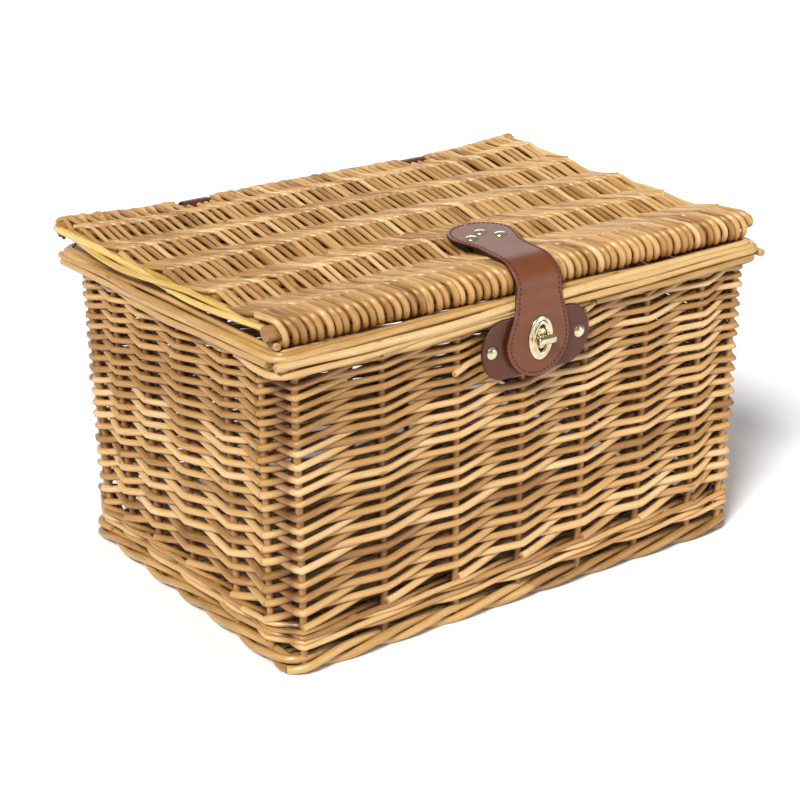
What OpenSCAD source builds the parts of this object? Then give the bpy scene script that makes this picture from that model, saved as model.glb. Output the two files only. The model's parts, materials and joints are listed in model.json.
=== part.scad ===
// Woven willow hamper with a hinged lid, a leather strap and a brass turn-lock.
// Millimetres. +Z is up, -Y is the front, the origin is the bottom centre of the overall box.

/* [Basket] */
// outer width of the rim, left to right
rim_width = 400; // [340:1:480]
// outer depth of the rim, front to back
rim_depth = 290; // [250:1:340]
// height of the rim's top above the floor
rim_height = 219; // [190:1:260]
// how far each wall leans out between the floor and the rim
wall_lean = 3; // [1:0.5:8]
// thickness of the woven wall
wall_thickness = 14; // [12:0.5:18]
// how far the rim border stands out from the wall
rim_overhang = 3.3; // [2:0.1:5]
// height of the rim border
rim_band = 18; // [14:1:26]

/* [Foot and base] */
// height of the plaited foot border
foot_height = 13; // [11:0.5:18]
// how far the foot border stands out from the wall
foot_overhang = 1; // [0.5:0.1:3]
// open slot between the foot border and the waling
slot_height = 5; // [3:0.5:8]
// height of the waling band above the slot
wale_height = 13; // [8:0.5:18]
// thickness of the woven base
base_thickness = 7; // [5:0.5:8]

/* [Stakes] */
// diameter of one upright stake
stake_diameter = 5.4; // [4:0.1:6]
// stakes along the front and along the back
long_stakes = 8; // [6:1:10]
// stakes along each end
short_stakes = 6; // [4:1:7]

/* [Lid] */
// width of the lid
lid_width = 388; // [330:1:460]
// height of the sticks' centre line above the rim
lid_rise = 10.3; // [10:0.1:14]
// diameter of the front roll of wrapped rods
front_roll_diameter = 19; // [17:0.2:20]
// diameter of the back roll of wrapped rods
back_roll_diameter = 17.6; // [16:0.2:19]
// diameter of the stick inside the front roll
front_stick_diameter = 10; // [8:0.2:12]
// diameter of the stick inside the back roll
back_stick_diameter = 9; // [8:0.2:10]
// diameter of one cross stick inside the lid's weave
cross_stick_diameter = 8; // [6:0.2:9]
// number of cross sticks inside the lid's weave
cross_sticks = 5; // [3:1:7]
// diameter of one rod along the lid's side edge
edge_rod_diameter = 4.6; // [3:0.1:6]

/* [Leather and brass] */
// sideways place of the strap and the turn-lock
lock_offset = -6; // [-20:1:20]
// height of the turn-lock's axis above the floor
lock_height = 193; // [165:1:205]
// thickness of the strap leather
leather_thickness = 2.2; // [1.8:0.1:2.6]
// width of the strap where it bends over the lid
strap_width = 36; // [30:1:42]
// diameter of the strap's rounded end at the lock
strap_end_diameter = 49; // [44:1:56]
// width of the leather plate behind the lock
plate_width = 87; // [76:1:100]
// height of the leather plate behind the lock
plate_height = 40; // [34:1:46]
// length of the turn-lock's cross bar
knob_length = 14; // [10:0.5:15]
// width of each leather hinge
hinge_width = 22; // [16:1:26]

/* [Hidden] */
$fn = 64;
clear = 0.3;
fit = 0.05;
lean_angle = atan(wall_lean / rim_height);
inset_x = 8;
inset_y = 20;
corner_stake_x = 12;
corner_stake_y = 24;
wale_bottom = foot_height + slot_height;
wall_bottom = wale_bottom + wale_height;
wall_top = rim_height - rim_band;
wall_end = wall_top - wall_thickness * sin(lean_angle) - fit;
corner_end = wall_top - (wall_thickness + inset_y) * sin(lean_angle) - fit;
base_corner = 4;
stake_bottom = 6;
stake_top = wall_top + 10;
rim_thickness = wall_thickness + rim_overhang;
rim_corner = 20;
rim_round = 6;
foot_thickness = 16;
foot_corner = 18;
foot_round = 4;
base_bottom = 4;
base_half_x = rim_width / 2 - rim_overhang - wall_lean;
base_half_y = rim_depth / 2 - rim_overhang - wall_lean;

axis_z = rim_height + lid_rise;
front_roll_r = front_roll_diameter / 2;
back_roll_r = back_roll_diameter / 2;
front_stick_y = -(rim_depth / 2 - 7) + front_roll_r;
back_stick_y = rim_depth / 2 - 6 - back_roll_r;
hinge_x = 0.245 * lid_width;
hinge_gap = hinge_width + 5;
hinge_inner_r = back_stick_diameter / 2 + 0.4;
hinge_outer_r = hinge_inner_r + 2;
hinge_tail_bottom = wall_top + 4;
hinge_sheet = 1.8;
panel_front_y = front_stick_y + front_roll_r + 0.1;
panel_back_y = back_stick_y - back_roll_r - 0.4;
weave_rod = 4.4;
panel_half = cross_stick_diameter / 2 + weave_rod;
panel_width = lid_width - 12;
first_cross_y = front_stick_y + 22;
last_cross_y = back_stick_y - 22;
cross_length = panel_width - 2;
edge_rod_step = 4.9;

strap_inner_r = front_roll_r + clear;
strap_mid_r = strap_inner_r + leather_thickness / 2;
strap_outer_r = strap_inner_r + leather_thickness;
fold_y = front_stick_y - strap_mid_r;
fold_x = lock_offset - 2;
fold_clearance = leather_thickness / 2 + 1.6;
knee_z = axis_z - 16.3;
plate_back_y = -rim_depth / 2 - 0.1;
plate_front_y = plate_back_y - leather_thickness;
lock_sheet = 1.2;
lock_base_front_y = plate_front_y - lock_sheet;
flap_back_y = lock_base_front_y - clear;
flap_front_y = flap_back_y - leather_thickness;
flap_mid_y = (flap_back_y + flap_front_y) / 2;
eyelet_front_y = flap_front_y - 1.3;
collar_front_y = eyelet_front_y - 0.9;
bar_r = 2.9;
bar_y = collar_front_y - 0.5 - bar_r;
post_r = 2.6;
post_front_y = collar_front_y;
shaft_r = 1.5;
shaft_gap = 0.08;
slot_half = 3.8;
slot_reach = 8;
lid_end_x = 3;
lid_end_y = front_stick_y + 55;
lid_end_r = 25;
rivet_head_r = 4.4;
rivet_rise = 2;
rivet_shank_r = 1.5;
strap_rivet_places = [
    [lid_end_x - 13, lid_end_y - 6],
    [lid_end_x + 0.5, lid_end_y + 5],
    [lid_end_x + 10, lid_end_y - 10]
];

willow = [0.80, 0.63, 0.42];
willow_pale = [0.86, 0.71, 0.50];
willow_dark = [0.66, 0.48, 0.30];
willow_gold = [0.85, 0.66, 0.33];
leather = [0.45, 0.24, 0.16];
brass = [0.78, 0.72, 0.52];

// Moves the basket so that the box from the turn-lock to the hinge leathers is centred on y = 0.
module placed() {
    translate([0, -(bar_y - bar_r + rim_depth / 2 + 0.1 + hinge_sheet) / 2, 0])
        children();
}

// Sides are numbered 0 front, 1 right, 2 back, 3 left.
function half_out(side) = side % 2 == 0 ? base_half_y : base_half_x;
function half_along(side) = side % 2 == 0 ? base_half_x : base_half_y;
function end_inset(side) = side % 2 == 0 ? inset_x : inset_y;
function stake_inset(side) = side % 2 == 0 ? corner_stake_x : corner_stake_y;
function stake_count(side) = side % 2 == 0 ? long_stakes : short_stakes;

// Places its children on one leaning wall: x along it, y inwards, z up.
module on_side(side) {
    rotate([0, 0, 90 * side])
        translate([0, -half_out(side), 0])
            rotate([lean_angle, 0, 0])
                children();
}

// One leaning slab of wall between two heights.
module slab(side, low, high) {
    half_low = half_along(side) - end_inset(side) + wall_lean * low / rim_height;
    half_high = half_along(side) - end_inset(side) + wall_lean * high / rim_height;
    on_side(side)
        translate([0, wall_thickness, 0])
            rotate([90, 0, 0])
                linear_extrude(wall_thickness)
                    polygon([[-half_low, low], [half_low, low], [half_high, high], [-half_high, high]]);
}

// One cut-off corner post between two heights, for the corner at (sx, sy).
module corner_post(sx, sy, low, high) {
    mirror([sx > 0 ? 1 : 0, 0, 0])
        mirror([0, sy > 0 ? 1 : 0, 0])
            translate([-base_half_x, -base_half_y, 0])
                rotate([lean_angle, -lean_angle, 0])
                    translate([0, 0, low])
                        linear_extrude(high - low)
                            polygon([
                                [inset_x - fit, 0],
                                [0, inset_y - fit],
                                [wall_thickness, inset_y - fit],
                                [inset_x - fit, wall_thickness]
                            ]);
}

module corner_posts(low, high) {
    for (sx = [-1, 1])
        for (sy = [-1, 1])
            corner_post(sx, sy, low, high);
}

// The stakes of one side, with some extra radius when they cut their own holes.
module stakes(side, extra = 0) {
    count = stake_count(side);
    reach = half_along(side) - stake_inset(side);
    on_side(side)
        for (k = [0 : count - 1]) {
            share = 2 * k / (count - 1) - 1;
            translate([share * reach, wall_thickness / 2, 0])
                rotate([0, atan(share * wall_lean / rim_height), 0])
                    translate([0, 0, stake_bottom - extra])
                        cylinder(h = stake_top - stake_bottom + 2 * extra, d = stake_diameter + 2 * extra);
        }
}

module all_stake_holes() {
    for (side = [0 : 3])
        stakes(side, fit);
}

// A border's cross-section: x is its thickness, y its height.
module border_profile(thickness, height, top_round, bottom_round) {
    translate([top_round, top_round])
        square([thickness - 2 * top_round, height - 2 * top_round]);
    translate([0, bottom_round])
        square([thickness, height - top_round - bottom_round]);
    translate([bottom_round, 0])
        square([thickness - 2 * bottom_round, height / 2]);
    for (x = [top_round, thickness - top_round])
        translate([x, height - top_round])
            circle(top_round);
    for (x = [bottom_round, thickness - bottom_round])
        translate([x, bottom_round])
            circle(bottom_round);
}

module rim_profile() {
    border_profile(rim_thickness - 0.3, rim_band, rim_round, 3);
}

module foot_profile() {
    border_profile(foot_thickness, foot_height, foot_round, 2);
}

// A straight stretch of border along one side.
module border_bar(side, out, length) {
    rotate([0, 0, 90 * side])
        translate([length / 2, -out, 0])
            rotate([90, 0, -90])
                linear_extrude(length)
                    mirror([1, 0])
                        children();
}

// The four rounded corners of a border.
module border_corners(half_x, half_y, corner, thickness) {
    for (turn = [0 : 3]) {
        sx = (turn == 0 || turn == 3) ? 1 : -1;
        sy = turn < 2 ? 1 : -1;
        translate([sx * (half_x - corner), sy * (half_y - corner), 0])
            rotate([0, 0, 90 * turn])
                rotate_extrude(angle = 90)
                    translate([corner - thickness, 0])
                        children();
    }
}

module rim_bar(side) {
    half = side % 2 == 0 ? rim_width / 2 : rim_depth / 2;
    out = side % 2 == 0 ? rim_depth / 2 : rim_width / 2;
    difference() {
        translate([0, 0, wall_top])
            border_bar(side, out, 2 * (half - rim_corner) - fit)
                rim_profile();
        stakes(side, fit);
    }
}

module foot_border() {
    half_x = base_half_x + foot_overhang;
    half_y = base_half_y + foot_overhang;
    color(willow) placed()
        difference() {
            union() {
                border_corners(half_x, half_y, foot_corner, foot_thickness)
                    foot_profile();
                for (side = [0 : 3])
                    border_bar(
                        side,
                        side % 2 == 0 ? half_y : half_x,
                        2 * ((side % 2 == 0 ? half_x : half_y) - foot_corner)
                    )
                        foot_profile();
            }
            all_stake_holes();
        }
}

module base_weave() {
    half_x = base_half_x + foot_overhang - foot_thickness - fit;
    half_y = base_half_y + foot_overhang - foot_thickness - fit;
    color(willow_dark) placed()
        translate([0, 0, base_bottom])
            linear_extrude(base_thickness)
                offset(r = base_corner)
                    square([2 * (half_x - base_corner), 2 * (half_y - base_corner)], center = true);
}

module bottom_wale() {
    color(willow) placed()
        difference() {
            union() {
                for (side = [0 : 3])
                    slab(side, wale_bottom, wall_bottom - fit);
                corner_posts(wale_bottom, wall_bottom - fit);
            }
            all_stake_holes();
        }
}

module wall(side) {
    color(willow) placed()
        difference() {
            slab(side, wall_bottom, wall_end);
            stakes(side, fit);
        }
}

module wall_front() {
    wall(0);
}

module wall_right() {
    wall(1);
}

module wall_back() {
    wall(2);
}

module wall_left() {
    wall(3);
}

module wall_corners() {
    color(willow) placed()
        corner_posts(wall_bottom, corner_end);
}

module stakes_front() {
    color(willow_dark) placed()
        stakes(0);
}

module stakes_right() {
    color(willow_dark) placed()
        stakes(1);
}

module stakes_back() {
    color(willow_dark) placed()
        stakes(2);
}

module stakes_left() {
    color(willow_dark) placed()
        stakes(3);
}

module rim_front() {
    color(willow_pale) placed()
        rim_bar(0);
}

module rim_right() {
    color(willow_pale) placed()
        rim_bar(1);
}

module rim_back() {
    color(willow_pale) placed()
        rim_bar(2);
}

module rim_left() {
    color(willow_pale) placed()
        rim_bar(3);
}

module rim_corners() {
    color(willow_pale) placed()
        difference() {
            translate([0, 0, wall_top])
                border_corners(rim_width / 2, rim_depth / 2, rim_corner, rim_thickness - 0.3)
                    rim_profile();
            all_stake_holes();
        }
}

// Turns a flat outline in x and z into a sheet between two y values.
module upright_sheet(front, back) {
    translate([0, back, 0])
        rotate([90, 0, 0])
            linear_extrude(back - front)
                children();
}

module oval(width, height) {
    side = min(width, height);
    square([max(width - side, 0.01), height - (width > height ? 0 : side)], center = true);
    square([width - (width > height ? side : 0), max(height - side, 0.01)], center = true);
    for (s = [-1, 1])
        translate([s * (width - side) / 2, s * (height - side) / 2])
            circle(side / 2);
}

module lock_leather() {
    color(leather) placed()
        difference() {
            upright_sheet(plate_front_y, plate_back_y)
                translate([lock_offset, lock_height - 4])
                    oval(plate_width, plate_height);
            for (s = [-1, 1])
                translate([lock_offset + s * (plate_width / 2 - 8), plate_back_y + 1, lock_height - 4])
                    rotate([90, 0, 0])
                        cylinder(h = leather_thickness + 2, r = rivet_shank_r + fit);
        }
}

// A domed rivet head on the plane z = 0 with its shank below it.
module rivet(shank) {
    ball = (rivet_head_r * rivet_head_r + rivet_rise * rivet_rise) / (2 * rivet_rise);
    intersection() {
        translate([0, 0, rivet_rise - ball])
            sphere(ball);
        cylinder(h = rivet_rise + 1, r = rivet_head_r + 1);
    }
    translate([0, 0, -shank])
        cylinder(h = shank + 0.2, r = rivet_shank_r);
}

module lock_rivets() {
    color(brass) placed()
        for (s = [-1, 1])
            translate([lock_offset + s * (plate_width / 2 - 8), plate_front_y, lock_height - 4])
                rotate([90, 0, 0])
                    rivet(leather_thickness);
}

module lock_base() {
    color(brass) placed()
        difference() {
            union() {
                upright_sheet(lock_base_front_y, plate_front_y)
                    translate([lock_offset, lock_height])
                        oval(13, 22);
                upright_sheet(post_front_y, lock_base_front_y + 0.1)
                    translate([lock_offset, lock_height])
                        circle(post_r);
            }
            upright_sheet(post_front_y - 1, lock_base_front_y + 0.6)
                translate([lock_offset, lock_height])
                    circle(shaft_r + shaft_gap);
        }
}

module lock_knob() {
    color(brass) placed() {
        translate([lock_offset - knob_length / 2, bar_y, lock_height])
            rotate([0, 90, 0])
                cylinder(h = knob_length, r = bar_r);
        upright_sheet(bar_y, lock_base_front_y)
            translate([lock_offset, lock_height])
                circle(shaft_r);
    }
}

// One leather hinge: a loop round the bare back stick and a tail down the rim's back.
module hinge(x) {
    back_y = rim_depth / 2 + 0.1;
    color(leather) placed()
        translate([x - hinge_width / 2, 0, 0])
            difference() {
                union() {
                    translate([0, back_stick_y, axis_z])
                        rotate([0, 90, 0])
                            cylinder(h = hinge_width, r = hinge_outer_r);
                    translate([0, back_stick_y - 2, rim_height + 0.2])
                        cube([hinge_width, 4, lid_rise - hinge_inner_r - 0.6]);
                    translate([0, back_stick_y - 2, rim_height + 0.2])
                        cube([hinge_width, back_y - back_stick_y + 2 + hinge_sheet, hinge_sheet]);
                    translate([0, back_y, hinge_tail_bottom])
                        cube([hinge_width, hinge_sheet, rim_height + 0.2 + hinge_sheet - hinge_tail_bottom]);
                }
                translate([-1, back_stick_y, axis_z])
                    rotate([0, 90, 0])
                        cylinder(h = hinge_width + 2, r = hinge_inner_r);
            }
}

module hinge_left() {
    hinge(-hinge_x);
}

module hinge_right() {
    hinge(hinge_x);
}

// A round stick along x, centred on x = 0.
module stick(y, length, diameter) {
    translate([-length / 2, y, axis_z])
        rotate([0, 90, 0])
            cylinder(h = length, d = diameter);
}

module lid_front_stick() {
    color(willow_dark) placed()
        stick(front_stick_y, lid_width + 5, front_stick_diameter);
}

module lid_back_stick() {
    color(willow_dark) placed()
        stick(back_stick_y, lid_width, back_stick_diameter);
}

module crosses(extra) {
    for (k = [0 : cross_sticks - 1])
        stick(
            first_cross_y + k * (last_cross_y - first_cross_y) / (cross_sticks - 1),
            cross_length + 2 * extra,
            cross_stick_diameter + 2 * extra
        );
}

module lid_cross_sticks() {
    color(willow_dark) placed()
        crosses(0);
}

module lid_weave() {
    color(willow) placed()
        difference() {
            translate([-panel_width / 2, panel_front_y, axis_z - panel_half])
                cube([panel_width, panel_back_y - panel_front_y, 2 * panel_half]);
            crosses(fit);
        }
}

module lid_front_roll() {
    color(willow) placed()
        difference() {
            stick(front_stick_y, lid_width, front_roll_diameter);
            stick(front_stick_y, lid_width + 10, front_stick_diameter + 2 * fit);
        }
}

module lid_back_roll() {
    color(willow) placed()
        difference() {
            stick(back_stick_y, lid_width - 4, back_roll_diameter);
            stick(back_stick_y, lid_width + 10, back_stick_diameter + 2 * fit);
            for (s = [-1, 1])
                translate([s * hinge_x - hinge_gap / 2, back_stick_y - 20, axis_z - 20])
                    cube([hinge_gap, 40, 40]);
        }
}

// Two thin rods along one side edge of the lid.
module edge_rods(s) {
    color(willow_gold) placed()
        for (k = [0, 1])
            translate([s * (panel_width / 2 + 0.6 + edge_rod_diameter / 2 + (k == 0 ? 0 : 1.2)),
                panel_front_y + 0.2,
                axis_z + (k - 0.5) * edge_rod_step])
                rotate([-90, 0, 0])
                    cylinder(h = panel_back_y - panel_front_y - 0.4, d = edge_rod_diameter);
}

module lid_edge_left() {
    edge_rods(-1);
}

module lid_edge_right() {
    edge_rods(1);
}

module strap_top() {
    low_z = axis_z + strap_inner_r;
    color(leather) placed()
        difference() {
            union() {
                translate([0, 0, low_z])
                    linear_extrude(leather_thickness) {
                        translate([lid_end_x, lid_end_y])
                            circle(lid_end_r);
                        polygon([
                            [fold_x - strap_width / 2, front_stick_y],
                            [fold_x + strap_width / 2, front_stick_y],
                            [lid_end_x + lid_end_r - 2, lid_end_y - 9],
                            [lid_end_x - lid_end_r + 2, lid_end_y - 9]
                        ]);
                    }
                translate([fold_x - strap_width / 2, front_stick_y, axis_z])
                    intersection() {
                        rotate([0, 90, 0])
                            difference() {
                                cylinder(h = strap_width, r = strap_outer_r);
                                translate([0, 0, -1])
                                    cylinder(h = strap_width + 2, r = strap_inner_r);
                            }
                        translate([-1, -20, fold_clearance])
                            cube([strap_width + 2, 20.01, 20]);
                    }
            }
            for (p = strap_rivet_places)
                translate([p[0], p[1], low_z - 1])
                    cylinder(h = leather_thickness + 2, r = rivet_shank_r + fit);
        }
}

module strap_rivets() {
    head_z = axis_z + strap_outer_r;
    color(brass) placed()
        for (p = strap_rivet_places)
            translate([p[0], p[1], head_z])
                rivet(head_z - axis_z - panel_half - fit);
}

module slot_hole(extra) {
    oval(2 * (slot_half + extra), 2 * (slot_reach + extra));
}

// The strap's side view from the fold down to the flat part: x is y, y is z.
module flap_profile(low) {
    half = leather_thickness / 2;
    bend = atan((fold_y - flap_mid_y) / (axis_z - knee_z));
    mitre = half * tan(bend / 2);
    polygon([
        [flap_back_y, low],
        [flap_back_y, knee_z - mitre],
        [fold_y + half * cos(bend), axis_z - half * sin(bend)],
        [fold_y - half * cos(bend), axis_z + half * sin(bend)],
        [flap_front_y, knee_z + mitre],
        [flap_front_y, low]
    ]);
}

module strap_flap() {
    end_r = strap_end_diameter / 2;
    join_z = knee_z - 4;
    color(leather) placed()
        difference() {
            union() {
                translate([fold_x - strap_width / 2, fold_y, axis_z])
                    rotate([0, 90, 0])
                        cylinder(h = strap_width, r = leather_thickness / 2 + 0.1);
                translate([fold_x - strap_width / 2, 0, 0])
                    rotate([90, 0, 90])
                        linear_extrude(strap_width)
                            flap_profile(join_z);
                upright_sheet(flap_front_y, flap_back_y)
                    union() {
                        translate([lock_offset, lock_height])
                            circle(end_r);
                        polygon([
                            [fold_x - strap_width / 2, join_z],
                            [fold_x + strap_width / 2, join_z],
                            [lock_offset + end_r - 4, lock_height + 4],
                            [lock_offset - end_r + 4, lock_height + 4]
                        ]);
                    }
            }
            upright_sheet(flap_front_y - 1, flap_back_y + 1)
                translate([lock_offset, lock_height])
                    slot_hole(0.4);
        }
}

module strap_eyelet() {
    color(brass) placed()
        difference() {
            union() {
                upright_sheet(eyelet_front_y, flap_front_y)
                    translate([lock_offset, lock_height])
                        oval(19.5, 29.5);
                upright_sheet(collar_front_y, eyelet_front_y + 0.1)
                    translate([lock_offset, lock_height])
                        oval(2 * slot_half + 4, 2 * slot_reach + 4);
            }
            upright_sheet(collar_front_y - 1, flap_front_y + 1)
                translate([lock_offset, lock_height])
                    slot_hole(0);
        }
}

foot_border();
base_weave();
bottom_wale();
wall_front();
wall_right();
wall_back();
wall_left();
wall_corners();
stakes_front();
stakes_right();
stakes_back();
stakes_left();
rim_front();
rim_right();
rim_back();
rim_left();
rim_corners();
lock_leather();
lock_rivets();
lock_base();
hinge_left();
hinge_right();
lid_front_stick();
lid_back_stick();
lid_cross_sticks();
lid_weave();
lid_front_roll();
lid_back_roll();
lid_edge_left();
lid_edge_right();
strap_top();
strap_rivets();
strap_flap();
strap_eyelet();
lock_knob();
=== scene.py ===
import json
import math

import bmesh
import bpy
import numpy as np
from mathutils import Matrix, Vector


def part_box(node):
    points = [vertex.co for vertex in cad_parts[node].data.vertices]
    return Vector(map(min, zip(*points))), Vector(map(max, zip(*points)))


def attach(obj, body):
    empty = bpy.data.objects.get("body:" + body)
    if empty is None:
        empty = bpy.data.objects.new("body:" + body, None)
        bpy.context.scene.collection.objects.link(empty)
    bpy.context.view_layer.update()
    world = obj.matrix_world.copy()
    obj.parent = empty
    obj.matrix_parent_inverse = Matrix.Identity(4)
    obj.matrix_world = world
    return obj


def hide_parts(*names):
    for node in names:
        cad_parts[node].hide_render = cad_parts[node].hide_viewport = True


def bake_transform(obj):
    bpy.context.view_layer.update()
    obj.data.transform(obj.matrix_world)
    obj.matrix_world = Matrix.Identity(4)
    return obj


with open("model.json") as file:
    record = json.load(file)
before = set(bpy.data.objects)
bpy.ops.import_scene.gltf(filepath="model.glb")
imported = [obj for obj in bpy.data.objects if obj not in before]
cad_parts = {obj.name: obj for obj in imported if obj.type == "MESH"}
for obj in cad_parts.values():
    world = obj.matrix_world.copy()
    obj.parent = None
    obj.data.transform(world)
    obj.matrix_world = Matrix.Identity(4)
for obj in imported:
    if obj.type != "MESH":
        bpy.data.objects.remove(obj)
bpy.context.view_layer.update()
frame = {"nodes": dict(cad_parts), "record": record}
MM = 0.001
TAU = 2 * math.pi

# ---------------------------------------------------------------- the frame, in millimetres


def box_mm(*nodes):
    """The low and high corners of the box round some CAD nodes."""
    lows, highs = zip(*(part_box(n) for n in nodes))
    return np.min(np.array(lows), 0) / MM, np.max(np.array(highs), 0) / MM


RIM_LOW, RIM_HIGH = box_mm("rim_front", "rim_right", "rim_back", "rim_left")
FOOT_LOW, FOOT_HIGH = box_mm("foot_border")
WALE_LOW, WALE_HIGH = box_mm("bottom_wale")
WALL_LOW, WALL_HIGH = box_mm("wall_front", "wall_back", "wall_left", "wall_right")
STICK_LOW, STICK_HIGH = box_mm("lid_front_stick")
BACK_LOW, BACK_HIGH = box_mm("lid_back_stick")
CROSS_LOW, CROSS_HIGH = box_mm("lid_cross_sticks")
PLATE_LOW, PLATE_HIGH = box_mm("lock_leather")
FLAP_LOW, FLAP_HIGH = box_mm("strap_flap")
TOP_LOW, TOP_HIGH = box_mm("strap_top")
EYELET_LOW, EYELET_HIGH = box_mm("strap_eyelet")
KNOB_LOW, KNOB_HIGH = box_mm("lock_knob")
BASE_LOW, BASE_HIGH = box_mm("base_weave")
JOINTS = {j["name"]: np.array(j["pos_m"]) / MM for j in frame["record"]["behaviour"]["joints"]}

MID_Y = (RIM_LOW[1] + RIM_HIGH[1]) / 2
HALF_X = (RIM_HIGH[0] - RIM_LOW[0]) / 2
HALF_Y = (RIM_HIGH[1] - RIM_LOW[1]) / 2
RIM_TOP = RIM_HIGH[2]
# how far the walls lean out over how far they rise, and how far the rim stands out past them
LEAN = 3.0 / 219.0
OVERHANG = 3.3
WALL_THICK = 14.0
STAKE_R = 2.5
# from the corner to the last stake, on the long sides and on the short sides
CORNER_X, CORNER_Y = 16.0, 30.0
SIDES = ("front", "right", "back", "left")

# ---------------------------------------------------------------- materials


def material(name):
    m = bpy.data.materials.new(name)
    m.use_nodes = True
    t = m.node_tree
    t.nodes.clear()
    out = t.nodes.new("ShaderNodeOutputMaterial")
    b = t.nodes.new("ShaderNodeBsdfPrincipled")
    t.links.new(b.outputs[0], out.inputs[0])
    return m, t, b


def node(t, kind, **values):
    n = t.nodes.new(kind)
    for k, v in values.items():
        if hasattr(n, k):
            setattr(n, k, v)
        else:
            n.inputs[k.replace("_", " ")].default_value = v
    return n


def ramp(t, source, stops):
    r = t.nodes.new("ShaderNodeValToRGB")
    els = r.color_ramp.elements
    while len(els) > 1:
        els.remove(els[0])
    els[0].position, els[0].color = stops[0][0], (*stops[0][1], 1)
    for p, c in stops[1:]:
        e = els.new(p)
        e.color = (*c, 1)
    t.links.new(source, r.inputs[0])
    return r.outputs[0]


def math_node(t, op, a, b=None, c=None, clamp=False):
    n = t.nodes.new("ShaderNodeMath")
    n.operation = op
    n.use_clamp = clamp
    for i, v in enumerate((a, b, c)):
        if v is None:
            continue
        if isinstance(v, (int, float)):
            n.inputs[i].default_value = v
        else:
            t.links.new(v, n.inputs[i])
    return n.outputs[0]


def mix(t, kind, fac, a, b):
    n = t.nodes.new("ShaderNodeMix")
    n.data_type = "RGBA"
    n.blend_type = kind
    n.clamp_factor = True
    for i, v in ((0, fac), (6, a), (7, b)):
        if isinstance(v, (int, float)):
            n.inputs[i].default_value = v
        elif isinstance(v, tuple):
            n.inputs[i].default_value = (*v, 1)
        else:
            t.links.new(v, n.inputs[i])
    return n.outputs[2]


def willow(name, stops, rough=0.42, knots=0.55):
    """Peeled willow: each rod's own tint, long grain streaks, freckles, small dark knots and painted
    shade.
    """
    m, t, b = material(name)
    place = node(t, "ShaderNodeAttribute", attribute_name="rod_place").outputs["Vector"]
    tint = node(t, "ShaderNodeAttribute", attribute_name="rod_tint").outputs["Fac"]
    end = node(t, "ShaderNodeAttribute", attribute_name="rod_end").outputs["Fac"]
    painted_shade_mask = node(t, "ShaderNodeAttribute", attribute_name="rod_painted_shade").outputs["Fac"]

    def noise(scale, detail, stretch, rough_=0.5):
        mp = t.nodes.new("ShaderNodeMapping")
        mp.inputs["Scale"].default_value = stretch
        t.links.new(place, mp.inputs["Vector"])
        n = node(t, "ShaderNodeTexNoise", Scale=scale, Detail=detail, Roughness=rough_)
        t.links.new(mp.outputs[0], n.inputs["Vector"])
        return n.outputs["Fac"]

    blotch = noise(1.0, 3, (0.35, 0.35, 0.035))
    streak = noise(1.0, 4, (2.4, 2.4, 0.05), 0.65)
    speck = noise(1.0, 3, (1.5, 1.5, 0.45), 0.7)
    s = math_node(t, "MULTIPLY_ADD", blotch, 0.55, -0.275)
    f = math_node(t, "ADD", tint, s)
    s2 = math_node(t, "MULTIPLY_ADD", streak, 0.62, -0.31)
    f = math_node(t, "ADD", f, s2, clamp=True)
    colour = ramp(t, f, stops)
    dark = math_node(t, "SUBTRACT", 0.40, speck)
    dark = math_node(t, "MULTIPLY", dark, 9.0, clamp=True)
    dark = math_node(t, "MULTIPLY", dark, knots * 0.5)
    colour = mix(t, "MIX", dark, colour, (0.16, 0.075, 0.026))
    kn = node(t, "ShaderNodeTexVoronoi", Scale=1.0, Randomness=1.0)
    mp = t.nodes.new("ShaderNodeMapping")
    mp.inputs["Scale"].default_value = (0.12, 0.12, 0.03)
    t.links.new(place, mp.inputs["Vector"])
    t.links.new(mp.outputs[0], kn.inputs["Vector"])
    k = math_node(t, "SUBTRACT", 0.13, kn.outputs["Distance"])
    k = math_node(t, "MULTIPLY", k, 14.0, clamp=True)
    k = math_node(t, "MULTIPLY", k, knots)
    colour = mix(t, "MIX", k, colour, (0.12, 0.05, 0.02))
    colour = mix(t, "MIX", math_node(t, "MULTIPLY", end, 0.7), colour, (0.20, 0.11, 0.045))
    # painted shade: where the rods' shade attribute is low, their colour is darkened towards a deep brown
    painted_shade_colour = mix(t, "MULTIPLY", 1.0, colour, (0.27, 0.135, 0.055))
    colour = mix(t, "MIX", painted_shade_mask, painted_shade_colour, colour)
    t.links.new(colour, b.inputs["Base Color"])
    r = math_node(t, "MULTIPLY_ADD", streak, 0.25, rough - 0.22)
    t.links.new(r, b.inputs["Roughness"])
    b.inputs["Specular IOR Level"].default_value = 0.75
    bump = node(t, "ShaderNodeBump", Strength=0.75, Distance=0.00035)
    h = math_node(t, "SUBTRACT", streak, math_node(t, "MULTIPLY", k, 0.6))
    t.links.new(h, bump.inputs["Height"])
    t.links.new(bump.outputs[0], b.inputs["Normal"])
    return m


HONEY = [
    (0, (0.150, 0.058, 0.010)),
    (0.25, (0.300, 0.137, 0.029)),
    (0.5, (0.470, 0.248, 0.071)),
    (0.75, (0.620, 0.366, 0.133)),
    (1, (0.760, 0.521, 0.258)),
]
PALE = [
    (0, (0.210, 0.092, 0.018)),
    (0.25, (0.390, 0.203, 0.054)),
    (0.5, (0.550, 0.322, 0.108)),
    (0.75, (0.680, 0.442, 0.185)),
    (1, (0.800, 0.592, 0.334)),
]
GOLD = [
    (0.0, (0.260, 0.115, 0.018)),
    (0.35, (0.500, 0.275, 0.050)),
    (0.65, (0.660, 0.420, 0.098)),
    (1.0, (0.800, 0.600, 0.235)),
]
DARKER = [
    (0, (0.140, 0.054, 0.010)),
    (0.4, (0.290, 0.127, 0.030)),
    (0.7, (0.430, 0.223, 0.070)),
    (1, (0.570, 0.334, 0.140)),
]


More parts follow.
